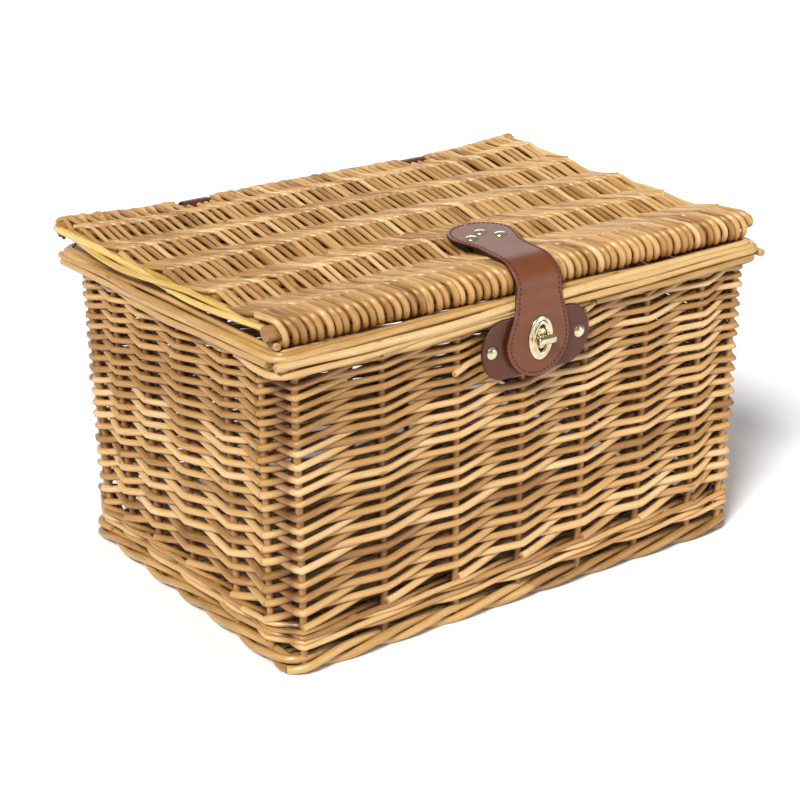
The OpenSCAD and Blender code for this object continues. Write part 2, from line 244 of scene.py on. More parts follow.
def leather(name, base, dark, scale=900.0):
    """Smooth dyed leather: fine pores, soft mottling, painted dark edges."""
    m, t, b = material(name)
    obj = node(t, "ShaderNodeTexCoord").outputs["Object"]
    edge = node(t, "ShaderNodeAttribute", attribute_name="edge").outputs["Fac"]

    def tex(kind, scale_, **kw):
        n = node(t, kind, Scale=scale_, **kw)
        t.links.new(obj, n.inputs["Vector"])
        return n

    mott = tex("ShaderNodeTexNoise", 60.0, Detail=4.0).outputs["Fac"]
    fine = tex("ShaderNodeTexNoise", scale * 1.6, Detail=3.0).outputs["Fac"]
    pores = tex("ShaderNodeTexVoronoi", scale, Randomness=1.0).outputs["Distance"]
    light = tuple(min(1.0, c * 1.35) for c in base)
    colour = mix(t, "MIX", mott, dark, light)
    colour = mix(t, "MIX", 0.45, colour, base)
    colour = mix(t, "MULTIPLY", math_node(t, "MULTIPLY", fine, 0.35), colour, (0.55, 0.45, 0.42))
    colour = mix(t, "MIX", edge, colour, (0.022, 0.008, 0.007))
    t.links.new(colour, b.inputs["Base Color"])
    r = math_node(t, "MULTIPLY_ADD", mott, 0.18, 0.30)
    t.links.new(r, b.inputs["Roughness"])
    b.inputs["Specular IOR Level"].default_value = 0.42
    h = math_node(t, "ADD", math_node(t, "MULTIPLY", pores, 0.8), math_node(t, "MULTIPLY", fine, 0.5))
    bump = node(t, "ShaderNodeBump", Strength=0.6, Distance=0.0003)
    t.links.new(h, bump.inputs["Height"])
    t.links.new(bump.outputs[0], b.inputs["Normal"])
    return m


def brass(name):
    """Pale polished brass with faint tarnish and fine scratches."""
    m, t, b = material(name)
    obj = node(t, "ShaderNodeTexCoord").outputs["Object"]
    n = node(t, "ShaderNodeTexNoise", Scale=220.0, Detail=4.0)
    t.links.new(obj, n.inputs["Vector"])
    colour = ramp(t, n.outputs["Fac"], [(0.3, (0.60, 0.50, 0.27)), (0.65, (0.86, 0.79, 0.56))])
    t.links.new(colour, b.inputs["Base Color"])
    b.inputs["Metallic"].default_value = 1.0
    s = node(t, "ShaderNodeTexNoise", Scale=1400.0, Detail=2.0)
    t.links.new(obj, s.inputs["Vector"])
    r = math_node(t, "MULTIPLY_ADD", s.outputs["Fac"], 0.18, 0.12)
    t.links.new(r, b.inputs["Roughness"])
    return m


WEAVE = willow("willow_weave", HONEY)
BORDER = willow("willow_border", PALE, rough=0.40, knots=0.7)
STAKE = willow("willow_stake", DARKER, rough=0.5)
YELLOW = willow("willow_gold", GOLD, rough=0.36, knots=0.35)
LEATHER = leather("leather_strap", (0.182, 0.051, 0.016), (0.080, 0.021, 0.008))
LEATHER_DARK = leather("leather_plate", (0.098, 0.021, 0.006), (0.050, 0.011, 0.004))
THREAD = leather("thread_dark_red", (0.065, 0.012, 0.012), (0.03, 0.006, 0.006), 3000.0)
BRASS = brass("pale_brass")

# ---------------------------------------------------------------- meshes and rods


def linked(name, data):
    ob = bpy.data.objects.new(name, data)
    bpy.context.collection.objects.link(ob)
    return ob


def shown(name, me, mat):
    """A smooth-shaded object with one material."""
    me.polygons.foreach_set("use_smooth", np.ones(len(me.polygons), bool))
    me.materials.append(mat)
    return linked(name, me)


def mesh_from(bm, name):
    """The bmesh as a mesh, its faces turned outwards."""
    bmesh.ops.recalc_face_normals(bm, faces=bm.faces)
    me = bpy.data.meshes.new(name)
    bm.to_mesh(me)
    bm.free()
    return me


def ring_verts(bm, points):
    """New vertices at points given in mm."""
    return [bm.verts.new((x * MM, y * MM, z * MM)) for x, y, z in points]


def tube(bm, rings):
    """Joins closed rings of vertices in turn and caps both ends."""
    for a, b in zip(rings[:-1], rings[1:]):
        for q in range(len(a)):
            after = (q + 1) % len(a)
            bm.faces.new((a[q], a[after], b[after], b[q]))
    bm.faces.new(rings[0])
    bm.faces.new(rings[-1][::-1])


def circle(radius, n):
    return [(radius * math.cos(q / n * TAU), radius * math.sin(q / n * TAU)) for q in range(n)]


def run_length(points):
    """The distance along a line of points, at each point."""
    return np.concatenate([[0], np.cumsum(np.linalg.norm(np.diff(points, axis=0), axis=1))])


class Rods:
    """Collects round rods into one mesh, with what the willow material reads."""

    def __init__(self, sides=8):
        self.sides = sides
        self.v, self.f = [], []
        self.place, self.tint, self.end, self.shade = [], [], [], []
        self.count = 0

    def add(self, points, radius, tint, start=0.0, shade=None):
        p = np.asarray(points, float)
        n, k = len(p), self.sides
        r = np.broadcast_to(np.asarray(radius, float), (n,))
        tint = np.broadcast_to(np.asarray(tint, float), (n,))
        tan = np.gradient(p, axis=0)
        tan /= np.linalg.norm(tan, axis=1)[:, None] + 1e-12
        up = np.zeros((n, 3))
        seed = np.array([0.0, 0.0, 1.0]) if abs(tan[0][2]) < 0.9 else np.array([1.0, 0.0, 0.0])
        side = np.cross(tan[0], seed)
        up[0] = np.cross(side / np.linalg.norm(side), tan[0])
        for i in range(1, n):
            u = up[i - 1] - tan[i] * np.dot(up[i - 1], tan[i])
            up[i] = u / (np.linalg.norm(u) + 1e-12)
        side = np.cross(tan, up)
        along = start + run_length(p)
        a = np.arange(k) / k * TAU
        ring = (
            p[:, None, :]
            + r[:, None, None] * (np.cos(a)[None, :, None] * side[:, None, :]
                                  + np.sin(a)[None, :, None] * up[:, None, :])
        ).reshape(-1, 3)
        place = np.stack(
            [
                np.broadcast_to(np.cos(a) * 2.2, (n, k)),
                np.broadcast_to(np.sin(a) * 2.2 + start * 0.37, (n, k)),
                np.broadcast_to(along[:, None], (n, k)),
            ],
            -1,
        ).reshape(-1, 3)
        i = np.arange(n - 1)[:, None] * k
        j = np.arange(k)[None, :]
        j2 = (j + 1) % k
        quads = np.stack([i + j, i + j2, i + k + j2, i + k + j], -1).reshape(-1, 4) + self.count
        self.v.append(ring)
        self.f.extend(map(tuple, quads.tolist()))
        self.place.append(place)
        self.tint.append(np.repeat(tint, k))
        self.end.append(np.zeros(n * k))
        # painted shade: 1 keeps a vertex's full colour, less paints it darker; each cut end takes its
        # ring's mean
        painted_shade_mask = np.ones(n * k) if shade is None else shade(ring, p)
        self.shade.append(painted_shade_mask)
        self.count += n * k
        for at, order in ((0, -1), (n - 1, 1)):
            rim = ring[at * k:(at + 1) * k]
            mid = p[at] + tan[at] * order * 0.12 * r[at]
            inner = mid + (rim - p[at]) * 0.45
            self.v.extend([rim, inner, mid[None, :]])
            base = self.count
            for q in range(k):
                q2 = (q + 1) % k
                if order > 0:
                    self.f.append((base + q, base + q2, base + k + q2, base + k + q))
                    self.f.append((base + k + q, base + k + q2, base + 2 * k))
                else:
                    self.f.append((base + q2, base + q, base + k + q, base + k + q2))
                    self.f.append((base + k + q2, base + k + q, base + 2 * k))
            ends = [place[at * k:(at + 1) * k]] * 2 + [place[at * k][None, :]]
            self.place.append(np.concatenate(ends))
            self.tint.append(np.full(2 * k + 1, tint[at]))
            self.end.append(np.concatenate([np.full(k, 0.35), np.full(k, 0.6), [1.0]]))
            self.shade.append(np.full(2 * k + 1, painted_shade_mask[at * k:(at + 1) * k].mean()))
            self.count += 2 * k + 1

    def piece(self, name, mat, body, slot, nodes=(), blend=None):
        me = bpy.data.meshes.new(name)
        v = np.concatenate(self.v) * MM
        me.from_pydata(v.tolist(), [], self.f)
        # the attributes the willow material reads, painted shade among them
        for key, data, kind in (
            ("rod_place", self.place, "FLOAT_VECTOR"),
            ("rod_tint", self.tint, "FLOAT"),
            ("rod_end", self.end, "FLOAT"),
            ("rod_painted_shade", self.shade, "FLOAT"),
        ):
            at = me.attributes.new(key, kind, "POINT")
            flat = np.concatenate(data).astype(np.float32).ravel()
            at.data.foreach_set("vector" if kind == "FLOAT_VECTOR" else "value", flat)
        ob = shown(name, me, mat)
        if blend:
            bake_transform(ob)
        else:
            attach(ob, body)
        if nodes:
            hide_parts(*nodes)
        return ob


def smooth(x):
    x = np.clip(x, 0, 1)
    return x * x * (3 - 2 * x)


def wobble(rng, n, step, size):
    """Slow random wander along a rod."""
    knots = max(3, int(n / step) + 3)
    y = rng.normal(0, size, knots)
    x = np.linspace(0, knots - 1.001, n)
    i = x.astype(int)
    t = smooth(x - i)
    return y[i] * (1 - t) + y[i + 1] * t


# ---------------------------------------------------------------- the basket's stakes and weave


# where each side's stakes stand, with its two outer stakes at -1 and 1
SHARES = (
    (-1.0, -0.655, -0.333, -0.04, 0.255, 0.55, 0.83, 1.0),
    (-1.0, -0.62, -0.2, 0.22, 0.64, 1.0),
    (-1.0, -0.78, -0.5, -0.2, 0.1, 0.41, 0.7, 1.0),
    (-1.0, -0.69, -0.33, 0.10, 0.62, 1.0),
)


def stake_plan():
    """Each stake at floor level: its plan point, outward normal and sideways share of the lean."""
    hx = HALF_X - OVERHANG - LEAN * RIM_TOP
    hy = HALF_Y - OVERHANG - LEAN * RIM_TOP
    out = []
    for side, shares in enumerate(SHARES):
        along = (hx if side % 2 == 0 else hy) - (CORNER_X if side % 2 == 0 else CORNER_Y)
        face = (hy if side % 2 == 0 else hx) - WALL_THICK / 2
        a = side * math.pi / 2
        right = np.array([math.cos(a), math.sin(a)])
        outward = np.array([math.sin(a), -math.cos(a)])
        for share in shares:
            out.append((side, share, along, face, right, outward))
    return out


PLAN = stake_plan()
STAKES = len(PLAN)


def stake_at(k, z):
    side, share, along, face, right, outward = PLAN[k % STAKES]
    grow = LEAN * z
    return right * share * (along + grow) + outward * (face + grow)


NORMALS = []
for k in range(STAKES):
    before, here, after = (stake_at(k + d, 0) for d in (-1, 0, 1))
    a, b = here - before, after - here
    t = a / np.linalg.norm(a) + b / np.linalg.norm(b)
    t /= np.linalg.norm(t)
    NORMALS.append(np.array([t[1], -t[0]]))


def side_of_bay(k):
    """Bays between two stakes of one side belong to it; cut-off corners go to the front or the back."""
    a, b = PLAN[k % STAKES][0], PLAN[(k + 1) % STAKES][0]
    if a == b:
        return a
    return 0 if 0 in (a, b) else 2


def make_stakes():
    rng = np.random.default_rng(11)
    for side, name in enumerate(SIDES):
        rods = Rods(10)
        for k in range(STAKES):
            if PLAN[k][0] != side:
                continue
            z = np.linspace(3.5, RIM_TOP - 8, 34)
            xy = np.array([stake_at(k, h) for h in z])
            pts = np.column_stack([xy, z])
            pts[:, 0] += wobble(rng, len(z), 9, 0.25)
            pts[:, 1] += wobble(rng, len(z), 9, 0.2) + MID_Y
            r = STAKE_R * (1.0 + wobble(rng, len(z), 8, 0.03))
            rods.add(pts, r, rng.uniform(0.25, 0.7), start=rng.uniform(0, 900))
        rods.piece(f"stake_rods_{name}", STAKE, "basket", "willow_stake", [f"stakes_{name}"])


LEVELS = 20
WEAVE_Z = WALL_LOW[2] + 2.0
PITCH_LOW, PITCH_HIGH = 10.4, 6.8
THICK_LOW, THICK_HIGH = 2.55, 1.95


def level_z(u):
    """Height of the weave's level u. The rods start with their butts, so the lower rounds are deeper."""
    scale = (WALL_HIGH[2] + 0.6 - WEAVE_Z) / (LEVELS * (PITCH_LOW + PITCH_HIGH) / 2)
    return WEAVE_Z + scale * (PITCH_LOW * u - (PITCH_LOW - PITCH_HIGH) * u * u / (2 * LEVELS))


def level_r(u):
    return THICK_LOW + (THICK_HIGH - THICK_LOW) * np.clip(u / LEVELS, 0, 1)


def bay_point(k, t, inout, z):
    """A point between stake k and k + 1, with inout from 1, in front, to -1, behind."""
    p = stake_at(k, z) * (1 - t) + stake_at(k + 1, z) * t
    n = NORMALS[k % STAKES] * (1 - t) + NORMALS[(k + 1) % STAKES] * t
    n /= np.linalg.norm(n)
    return np.array([*(p + n * inout), z])


def make_weave():
    rng = np.random.default_rng(21)
    sides = [Rods(9) for _ in range(4)]
    per = 9
    level_jit = rng.normal(0, 0.45, (STAKES, 2 * LEVELS + 4, 2))
    bays = 2 * LEVELS + 1
    for s in range(STAKES):
        tint0, r0 = rng.uniform(0.2, 0.9), rng.uniform(0.90, 1.08)
        left = rng.integers(10, 26)
        run, run_side = [], None
        start = rng.uniform(0, 2000)
        for n in range(bays):
            k = s + n
            inward = n % 2 == 0
            left -= 1
            fresh = left <= 0
            if fresh:
                tint0, r0 = rng.uniform(0.2, 0.9), rng.uniform(0.90, 1.08)
                left = rng.integers(16, 28)
                start = rng.uniform(0, 2000)
            up0 = n // 2 if inward else (n + 1) // 2
            up1 = (n + 2) // 2 if inward else (n + 1) // 2
            jz0, jo0 = level_jit[k % STAKES, n]
            jz1, jo1 = level_jit[(k + 1) % STAKES, n + 1]
            side = side_of_bay(k)
            if run_side is not None and (side != run_side or fresh):
                flush(sides[run_side], run)
                run = []
                sides_near = {PLAN[(k + m) % STAKES][0] for m in (-1, 0, 1)}
                if fresh and inward and len(sides_near) == 1 and rng.random() < 0.7:
                    jut = STAKE_R + 3.4
                    z = level_z(up0) - 1.6
                    butt = bay_point(k, 0.0, jut, z) * 2 - bay_point(k, 0.13, jut - 0.8, z + 0.6)
                    run = [(butt, level_r(up0) * r0, tint0, start)]
            run_side = side
            ts = np.linspace(0, 1, per + 1)
            if run:
                ts = ts[1:]
            for t in ts:
                e = 0.72 * t + 0.28 * smooth(t)
                up = up0 + (up1 - up0) * (0.8 * t + 0.2 * smooth(t))
                r = level_r(up) * r0
                io = (0.9 * STAKE_R + 0.72 * r) * (1 - 2 * e) * (1 if inward else -1)
                io += jo0 * (1 - t) + jo1 * t
                z = level_z(up) + jz0 * (1 - t) + jz1 * t
                run.append((bay_point(k, t, io, z), r, tint0, start + (n + t) * 50))
        flush(sides[run_side], run)
    for rods, name in zip(sides, SIDES):
        nodes = [f"wall_{name}"] + (["wall_corners"] if name == "front" else [])
        rods.piece(f"weave_rods_{name}", WEAVE, "basket", "willow_weave", nodes)


def flush(rods, run):
    if len(run) < 3:
        return
    pts = np.array([p for p, *_ in run])
    pts[:, 1] += MID_Y
    r = np.array([q[1] for q in run])
    tint = np.array([q[2] for q in run])
    rods.add(pts, r, tint, start=run[0][3], shade=wall_painted_shade)


def wall_painted_shade(ring, line):
    """Painted shade on the wall's rods: full colour outside, darker on their inner and under sides."""
    hx = HALF_X - OVERHANG - LEAN * (RIM_TOP - ring[:, 2]) - WALL_THICK / 2
    hy = HALF_Y - OVERHANG - LEAN * (RIM_TOP - ring[:, 2]) - WALL_THICK / 2
    out = np.maximum(np.abs(ring[:, 0]) - hx, np.abs(ring[:, 1] - MID_Y) - hy)
    under = (ring[:, 2] - np.repeat(line[:, 2], len(ring) // len(line))) / 2.5
    return np.clip(0.15 + 0.85 * smooth((out + 5.5) / 9.0) - 0.22 * np.clip(-under, 0, 1), 0, 1)


def ring_path(half_x, half_y, corner, s):
    """Points and outward normals at distance s, anticlockwise from the front's middle of a rounded box."""
    straight_x, straight_y = 2 * (half_x - corner), 2 * (half_y - corner)
    arc = math.pi / 2 * corner
    total = 2 * (straight_x + straight_y + 2 * arc)
    s = (np.asarray(s, float) + straight_x / 2) % total
    pts = np.zeros((len(s), 2))
    nor = np.zeros((len(s), 2))
    at = 0.0
    for side in range(4):
        length = straight_x if side % 2 == 0 else straight_y
        a = side * math.pi / 2
        right = np.array([math.cos(a), math.sin(a)])
        out = np.array([math.sin(a), -math.cos(a)])
        dist = half_y if side % 2 == 0 else half_x
        m = (s >= at) & (s < at + length)
        u = s[m] - at - length / 2
        pts[m] = right * u[:, None] + out * dist
        nor[m] = out
        at += length
        m = (s >= at) & (s < at + arc)
        th = (s[m] - at) / corner
        c = right * length / 2 + out * (dist - corner)
        n = out[None, :] * np.cos(th)[:, None] + right[None, :] * np.sin(th)[:, None]
        pts[m] = c + n * corner
        nor[m] = n
        at += arc
    return pts, nor


def ring_total(half_x, half_y, corner):
    return 4 * (half_x + half_y - 2 * corner) + TAU * corner


def make_rim():
    """The rolled border: long rods that start low outside, climb slowly and finish on top, inside.

    At most corners an outer rod is cut: its end tucks in behind, and the next one's butt sticks out.
    """
    rng = np.random.default_rng(31)
    rods = Rods(10)
    r, corner, count = 2.35, 12.0, 9
    hx, hy = HALF_X - r, HALF_Y - r
    step = 4.5
    low, high = RIM_LOW[2] + r + 0.6, RIM_TOP - r - 0.2
    thick = 16.5 - 2 * r
    total = ring_total(hx, hy, corner)
    gap = total / count
    slots_up = (high - low - 3.0) / step
    slots_top = (thick + 4) / step
    slots = slots_up + slots_top + 2.6
    arc = math.pi / 2 * corner
    straights = [2 * (hx - corner), 2 * (hy - corner)] * 2
    corners = []
    at = straights[0] / 2
    for k in range(4):
        corners.append(at)
        at += arc + straights[(k + 1) % 4]

    def lay(s, q, start, taper, tint, r0, turn_in=None, butt=None):
        """One length of rod at ring distances s and climb values q, with straight ends at a cut corner."""
        z = low + np.minimum(q, slots_up) * step
        over = np.clip((q - slots_up) / slots_top, 0, 1)
        z = z + np.sin(over * math.pi) * 3.4 - np.clip(q - slots_up - slots_top, 0, None) * step
        depth = (1 - np.cos(over * math.pi)) / 2 * thick
        depth = depth + (1 - smooth((s - start) / 30)) * 4.5
        n = len(s)
        pts, nor = ring_path(hx, hy, corner, s)
        xy = pts - nor * (depth + wobble(rng, n, 12, 0.5))[:, None]
        z = z + wobble(rng, n, 10, 0.9)
        p = np.column_stack([xy[:, 0], xy[:, 1] + MID_Y, z])
        if turn_in is not None:
            along = p[-1] - p[-3]
            along[2] = 0
            along /= np.linalg.norm(along)
            inward = np.array([*(-nor[-1]), 0])
            p = np.vstack([p] + [p[-1] + along * d + inward * d * 0.12 for d in (3.0, turn_in)])
        if butt is not None:
            along = p[0] - p[2]
            along[2] = 0
            along /= np.linalg.norm(along)
            p = np.vstack([p[0] + along * d for d in (butt, 4.0)] + [p])
        grow = np.linspace(taper[0], taper[1], len(p))
        p[:, 2] = np.minimum(p[:, 2], RIM_TOP - r0 * grow)
        rods.add(p, r0 * grow, tint, start=rng.uniform(0, 3000))

    for i in range(count):
        length = gap * slots
        n = int(length / 6)
        start = i * gap + 40 + rng.uniform(-12, 12)
        s = start + np.linspace(0, length, n)
        q = (s - start) / gap + wobble(rng, n, 16, 0.10)
        tint, r0 = rng.uniform(0.15, 0.75), r * rng.uniform(0.86, 1.10)
        cuts = []
        for turn in range(3):
            for c in corners:
                c = c + turn * total
                if start + 35 < c < start + length - 60:
                    at_q = (c - start) / gap
                    if at_q < slots_up - 0.3 and rng.random() < 0.8:
                        cuts.append(c)
        edges = [start] + sorted(cuts) + [start + length]
        for m in range(len(edges) - 1):
            lo = edges[m] + (arc if m > 0 else 0)
            hi = edges[m + 1]
            pick = (s >= lo) & (s <= hi)
            if pick.sum() < 5:
                continue
            grow = [1.1 - 0.22 * (v - start) / length for v in (lo, hi)]
            if m > 0:
                tint, r0 = rng.uniform(0.15, 0.75), r * rng.uniform(0.9, 1.1)
            lay(
                s[pick], q[pick], start, grow, tint, r0,
                turn_in=corner - 2 * r - 1.5 if m < len(edges) - 2 else None,
                butt=corner + rng.uniform(0.0, 2.2) if m > 0 else None,
            )
    rods.piece(
        "rim_rods", BORDER, "basket", "willow_border",
        ["rim_front", "rim_right", "rim_back", "rim_left", "rim_corners"],
    )


def make_foot():
    """The plaited foot border: thick rods twisted round one another."""
    rng = np.random.default_rng(41)
    rods = Rods(10)
    r = 2.8
    hx, hy = (FOOT_HIGH[0] - FOOT_LOW[0]) / 2 - 7.2, (FOOT_HIGH[1] - FOOT_LOW[1]) / 2 - 7.2
    corner = 13.0
    total = ring_total(hx, hy, corner)
    twists = 10
    strands = 3
    n = int(total / 4.5)
    s = np.linspace(0, total * (1 + 0.5 / n), n + 1)
    for i in range(strands):
        phase = TAU * i / strands
        th = TAU * twists * s / total + phase
        side = 3.9 * np.cos(th)
        lift = 3.7 * np.sin(th) + 0.6 * np.sin(2 * th + 1.0)
        pts, nor = ring_path(hx, hy, corner, s)
        wob = wobble(rng, n + 1, 9, 0.35)
        wob[-1] = wob[0]
        xy = pts + nor * (side + wob)[:, None]
        z = 6.9 + lift + wobble(rng, n + 1, 9, 0.3)
        z = np.maximum(z, r + 0.05)
        cuts = np.sort(rng.choice(np.arange(10, n - 10), 3, replace=False))
        pieces = np.split(np.arange(n + 1), cuts)
        for part in pieces:
            if len(part) < 4:
                continue
            part = np.arange(part[0], min(part[-1] + 2, n + 1))
            rods.add(
                np.column_stack([xy[part, 0], xy[part, 1] + MID_Y, z[part]]),
                r * rng.uniform(0.92, 1.06),
                rng.uniform(0.1, 0.6),
                start=rng.uniform(0, 3000),
            )
    rods.piece("foot_rods", BORDER, "basket", "willow_border", ["foot_border"])


# the stake where the wale's rods begin, at the back
WALE_START = 16


def make_wale():
    """Waling: each rod passes in front of two stakes and behind the third, three rods to a row."""
    rng = np.random.default_rng(51)
    rods = Rods(10)
    rows, strands, per = 2, 3, 9
    r = 1.95
    step = (WALE_HIGH[2] - WALE_LOW[2] + 0.9) / rows
    inout = (-1.0, 1.0, 1.0)
    level = (0.1, -0.27, 0.24)
    for row in range(rows):
        for s in range(strands):
            pts = []
            jit = rng.normal(0, 0.3, (STAKES + 1, 2))
            jit[-1] = jit[0]
            for j in range(STAKES + 2):
                k = (j + WALE_START + 2 * s) % STAKES
                a, b = (j + s) % 3, (j + s + 1) % 3
                for t in np.linspace(0, 1, per, endpoint=False):
                    e = smooth(t)
                    io = (STAKE_R + r * 0.95) * (inout[a] * (1 - e) + inout[b] * e)
                    io += jit[k, 0] * (1 - e) + jit[k + 1, 0] * e
                    z = WALE_LOW[2] + 3.4 + step * (row + level[a] * (1 - e) + level[b] * e)
                    z += jit[k, 1] * (1 - e) + jit[k + 1, 1] * e
                    pts.append(bay_point(k, t, io, z))
            pts = np.array(pts)
            pts[:, 1] += MID_Y
            cuts = np.sort(rng.choice(np.arange(20, len(pts) - 20), 2, replace=False))
            for part in np.split(np.arange(len(pts)), cuts):
                part = np.arange(part[0], min(part[-1] + 6, len(pts)))
                taper = np.linspace(1.06, 0.86, len(part))
                rods.add(
                    pts[part], r * taper, rng.uniform(0.2, 0.8), start=rng.uniform(0, 900), shade=wall_painted_shade
                )
    rods.piece("wale_rods", WEAVE, "basket", "willow_weave", ["bottom_wale"])


def make_base():
    """The woven base: stout sticks from end to end with rods woven across them."""
    rng = np.random.default_rng(61)
    rods = Rods(7)
    x0, x1 = BASE_LOW[0] - 2, BASE_HIGH[0] + 2
    y0, y1 = BASE_LOW[1] - 2, BASE_HIGH[1] + 2
    mid = (BASE_LOW[2] + BASE_HIGH[2]) / 2
    sticks, across, along = 11, 24, 132
    xs = np.linspace(x0 + 14, x1 - 14, sticks)
    step = xs[1] - xs[0]
    for x in xs:
        line = np.column_stack([np.full(across, x), np.linspace(y0, y1, across), np.full(across, mid)])
        rods.add(line, 1.9, rng.uniform(0.3, 0.7), start=rng.uniform(0, 900))
    pitch = 3.7
    for i in range(int((y1 - y0) / pitch)):
        y = y0 + pitch * (i + 0.5)
        x = np.linspace(x0, x1, along)
        ph = (x - xs[0]) / step * math.pi + (i % 2) * math.pi
        z = mid + 1.75 * np.cos(ph)
        line = np.column_stack([x, y + wobble(rng, along, 12, 0.25), z])
        r = 1.65 * rng.uniform(0.9, 1.05)
        rods.add(line, r, rng.uniform(0.25, 0.75), start=rng.uniform(0, 900))
    rods.piece("base_rods", WEAVE, "basket", "willow_base", ["base_weave"])


# ---------------------------------------------------------------- the lid

FRONT_Y = (STICK_LOW[1] + STICK_HIGH[1]) / 2
FRONT_R = (STICK_HIGH[2] - STICK_LOW[2]) / 2
AXIS_Z = (STICK_LOW[2] + STICK_HIGH[2]) / 2
BACK_Y = (BACK_LOW[1] + BACK_HIGH[1]) / 2
BACK_R = (BACK_HIGH[2] - BACK_LOW[2]) / 2
CROSS_R = (CROSS_HIGH[2] - CROSS_LOW[2]) / 2
CROSS_Y = np.linspace(CROSS_LOW[1] + CROSS_R, CROSS_HIGH[1] - CROSS_R, 5)
LID_HALF = (BACK_HIGH[0] - BACK_LOW[0]) / 2
HINGE_X = [(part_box(n)[0][0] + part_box(n)[1][0]) / 2 / MM for n in ("hinge_left", "hinge_right")]
HINGE_HALF = (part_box("hinge_left")[1][0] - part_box("hinge_left")[0][0]) / 2 / MM
# the lid's curled corners, how far a rod runs sideways over a stick and over what length,
# the front roll's sag, and the distance between rods
CORNER_LIFT = 4.0
OVER_SHIFT = 10.5
OVER_RUN = 4.0
ROLL_DROP = 1.22
LID_PITCH = 3.1


def dome(x, y):
    """The lid isn't flat: its middle bows up behind the strap, and its back corners curl up a little."""
    across = np.cos(np.clip(x / LID_HALF, -1, 1) * math.pi / 2)
    share = np.clip((y - FRONT_Y) / (BACK_Y - FRONT_Y), 0, 1)
    corner = smooth((np.abs(x) - 0.66 * LID_HALF) / (0.34 * LID_HALF)) * smooth((share - 0.45) / 0.55)
    return 4.0 * across * np.sin(math.pi * share) ** 1.7 + CORNER_LIFT * corner


def lid_rod(rng, i, x0, r_back, r_front):
    """One rod from the back stick to the front stick, over and under the cross sticks by turns.

    Where it passes over a stick it also runs sideways, so the rods of one ridge lie over one another.
    """
    over0 = i % 2
    out, rad = [], []
    reach = CROSS_R + (r_back + r_front) / 2 - 0.3
    stations = [(BACK_Y, BACK_R + r_back, 0.0)]
    for c in range(4, -1, -1):
        over = (c + over0) % 2 == 0
        stations.append((CROSS_Y[c], reach if over else -reach, OVER_SHIFT if over else 0.0))
    wraps_front = over0 == 0
    stations.append((FRONT_Y, (FRONT_R + r_front) * (1 if wraps_front else -1), 0.0))
    x = x0
    back_wrap = math.radians(215 + rng.uniform(-25, 15))
    loose = rng.uniform(0.0, 1.6)
    for a in np.linspace(-back_wrap, 0, 16, endpoint=False):
        rr = BACK_R + r_back + loose * math.sin(-a * 0.5)
        out.append((x + 3.0 * a, BACK_Y - rr * math.sin(a), rr * math.cos(a)))
        rad.append(r_back)
    span = BACK_Y - FRONT_Y
    run = OVER_RUN * rng.uniform(0.8, 1.15)
    for (y0, z0, s0), (y1, z1, s1) in zip(stations[:-1], stations[1:]):
        length = y0 - y1
        n = max(8, int(length / 2.6))
        for t in np.arange(n) / n:
            e = 0.88 * t + 0.12 * smooth(t)
            y = y0 - length * t
            z = z0 + (z1 - z0) * e
            sx = x + s0 * smooth(0.5 + t * length / (2 * run))
            sx = sx + s1 * smooth(0.5 + (t - 1) * length / (2 * run))
            out.append((sx, y, z))
            rad.append(r_back + (r_front - r_back) * ((BACK_Y - y) / span) ** 1.5)
        x += s0
    if wraps_front:
        wrap = math.radians(225)
        for a in np.linspace(0, wrap, 20):
            drop = 1.0 if a < math.pi / 2 else ROLL_DROP
            out.append((
                x + 2.6 * a,
                FRONT_Y - (FRONT_R + r_front + loose * 0.5) * math.sin(a),
                (FRONT_R + r_front) * math.cos(a) * drop,
            ))
            rad.append(r_front)
    else:
        for t in (0.0, 0.5, 1.0):
            out.append((x, FRONT_Y - 2.0 * t, -(FRONT_R + r_front)))
            rad.append(r_front)
    return np.array(out), np.array(rad)


def back_corner(x, y):
    """The lid's back left corner is pulled out sideways a little."""
    return x - 8.5 * smooth(-x / LID_HALF * 1.6 - 0.6) * smooth((y + 40) / 150)


def lid_painted_shade(ring, line):
    """Painted shade on the lid's rods: full colour on top of the lid and on the front roll, darker low
    between their neighbours.
    """
    high = ring[:, 2] - AXIS_Z - dome(ring[:, 0], ring[:, 1])
    front = smooth((FRONT_Y + 8 - ring[:, 1]) / 6)
    return np.clip(0.12 + 0.88 * smooth((high + 5.0) / 7.5) + front * 0.8, 0, 1)


def make_lid_weave():
    rng = np.random.default_rng(71)
    rods = Rods(9)
    half = LID_HALF - 2.5
    count = int((2 * half + 60) / LID_PITCH)
    for i in range(count):
        r_back = rng.uniform(1.45, 1.85)
        r_front = rng.uniform(2.0, 2.6) if i % 2 == 0 else rng.uniform(1.7, 1.9)
        p, r = lid_rod(rng, i, -half - 56 + i * LID_PITCH + rng.normal(0, 0.35), r_back, r_front)
        x, y, z = p[:, 0].copy(), p[:, 1], p[:, 2]
        x += wobble(rng, len(x), 12, 0.45)
        z = z + wobble(rng, len(x), 12, 0.25)
        keep = (x > -half) & (x < half)
        for hx in HINGE_X:
            keep &= ~((np.abs(x - hx) < HINGE_HALF + 2.4) & (y > BACK_Y - BACK_R - 4.5))
        idx = np.flatnonzero(keep)
        if len(idx) < 8:
            continue
        for run in np.split(idx, np.flatnonzero(np.diff(idx) > 1) + 1):
            if len(run) < 8:
                continue
            q = np.column_stack([back_corner(x, y)[run], y[run], z[run] + AXIS_Z + dome(x[run], y[run])])
            rods.add(q, r[run], rng.uniform(0.28, 0.88), start=rng.uniform(0, 3000), shade=lid_painted_shade)
    rods.piece("lid_rods", WEAVE, "lid", "willow_weave", ["lid_weave", "lid_front_roll", "lid_back_roll"])


